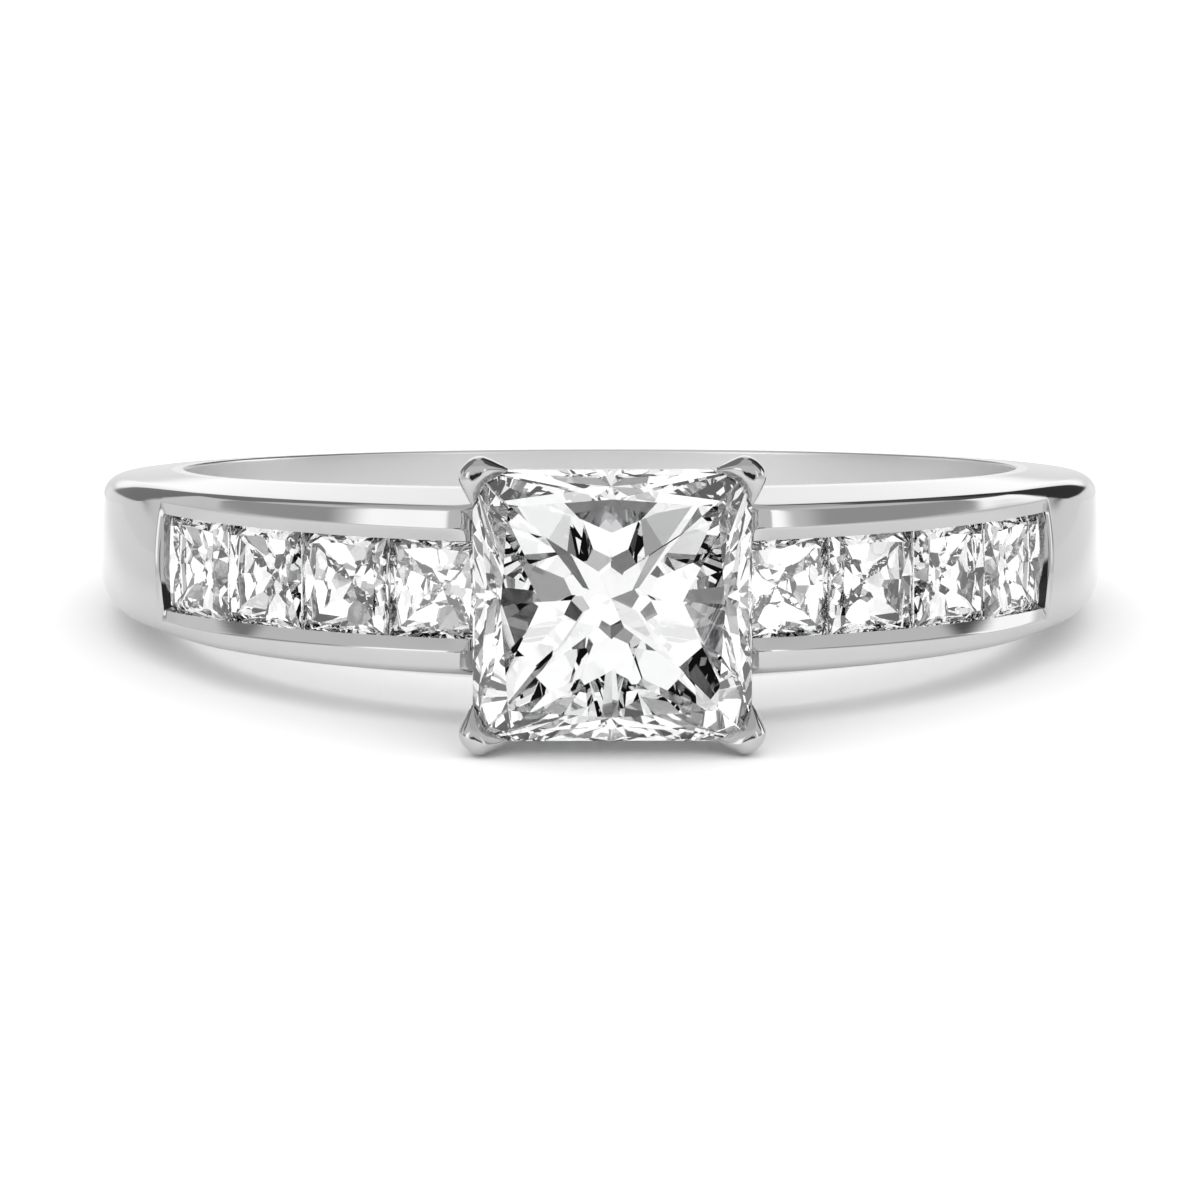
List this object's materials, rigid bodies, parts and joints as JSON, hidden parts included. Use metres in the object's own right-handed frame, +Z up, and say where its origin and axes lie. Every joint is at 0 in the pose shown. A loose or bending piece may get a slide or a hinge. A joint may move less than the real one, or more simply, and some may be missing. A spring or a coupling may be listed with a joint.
{
  "type": "channel set engagement ring",
  "caption": "White metal ring lying on its side: tapering shoulders with a channel of square stones in each, and a square centre stone in a head of V-shaped prongs.",
  "frame": {"origin": "centre of the part's outline on the surface it lies on", "axes": "-Y towards the head and its centre stone, +Z up and nearly along the finger axis, +X to the right when looking at the head"},
  "size_m": [0.0208, 0.0236, 0.0061],
  "materials": {
    "metal": "mirror polished white gold",
    "stone": "clear, faceted and polished"
  },
  "bodies": {
    "root": {"band_with_head": "metal", "centre_stone": "stone", "side_stone_left_1": "stone", "side_stone_left_2": "stone", "side_stone_left_3": "stone", "side_stone_left_4": "stone", "side_stone_right_1": "stone", "side_stone_right_2": "stone", "side_stone_right_3": "stone", "side_stone_right_4": "stone"}
  },
  "joints": []
}
